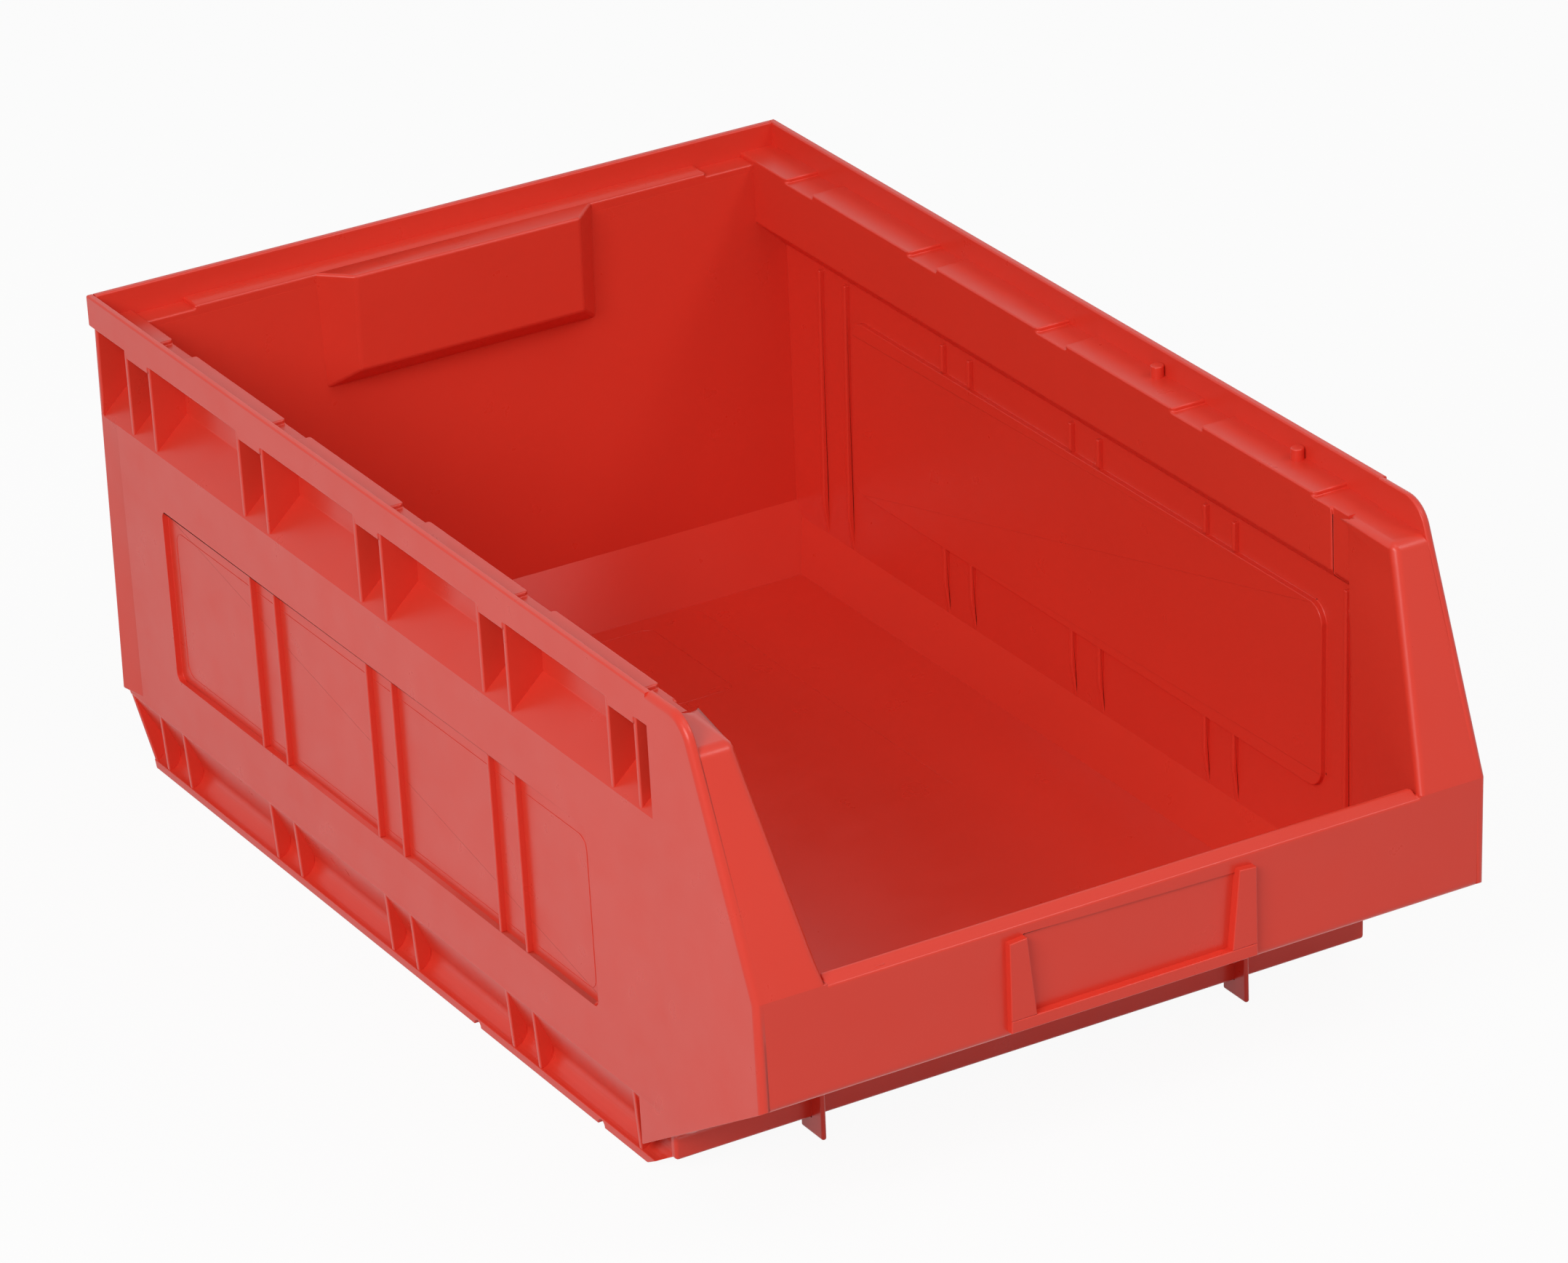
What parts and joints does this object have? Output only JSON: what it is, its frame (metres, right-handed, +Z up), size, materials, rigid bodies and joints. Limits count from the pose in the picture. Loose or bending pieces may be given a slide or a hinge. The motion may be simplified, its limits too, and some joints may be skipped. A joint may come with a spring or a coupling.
{
  "type": "open-front storage bin",
  "caption": "Stackable open-front parts bin in one plastic moulding, with a label holder on the low front lip and a finger grip at the back.",
  "frame": {"origin": "on the ground under the middle of the bin's bounding box", "axes": "+X across the bin to its right seen from the open front, +Y from the open front to the back, +Z up"},
  "size_m": [0.31, 0.498, 0.197],
  "materials": {
    "red_polypropylene": "satin"
  },
  "bodies": {
    "root": {"back_cove": "red_polypropylene", "back_ledge": "red_polypropylene", "back_rim_strip": "red_polypropylene", "back_skirt": "red_polypropylene", "back_wall": "red_polypropylene", "floor_pan": "red_polypropylene", "front_lip": "red_polypropylene", "grip_boss": "red_polypropylene", "label_sill": "red_polypropylene", "left_cheek": "red_polypropylene", "left_cove": "red_polypropylene", "left_front_post": "red_polypropylene", "left_gussets": "red_polypropylene", "left_inner_ribs": "red_polypropylene", "left_label_rail": "red_polypropylene", "left_ledge": "red_polypropylene", "left_panel_ribs": "red_polypropylene", "left_pegs": "red_polypropylene", "left_pocket_webs": "red_polypropylene", "left_rear_fin": "red_polypropylene", "left_rim_strip": "red_polypropylene", "left_side_wall": "red_polypropylene", "left_skirt": "red_polypropylene", "left_upper_band": "red_polypropylene", "nose": "red_polypropylene", "right_cheek": "red_polypropylene", "right_cove": "red_polypropylene", "right_front_post": "red_polypropylene", "right_gussets": "red_polypropylene", "right_inner_ribs": "red_polypropylene", "right_label_rail": "red_polypropylene", "right_ledge": "red_polypropylene", "right_panel_ribs": "red_polypropylene", "right_pegs": "red_polypropylene", "right_pocket_webs": "red_polypropylene", "right_rear_fin": "red_polypropylene", "right_rim_strip": "red_polypropylene", "right_side_wall": "red_polypropylene", "right_skirt": "red_polypropylene", "right_upper_band": "red_polypropylene", "stacking_hooks": "red_polypropylene"}
  },
  "joints": []
}
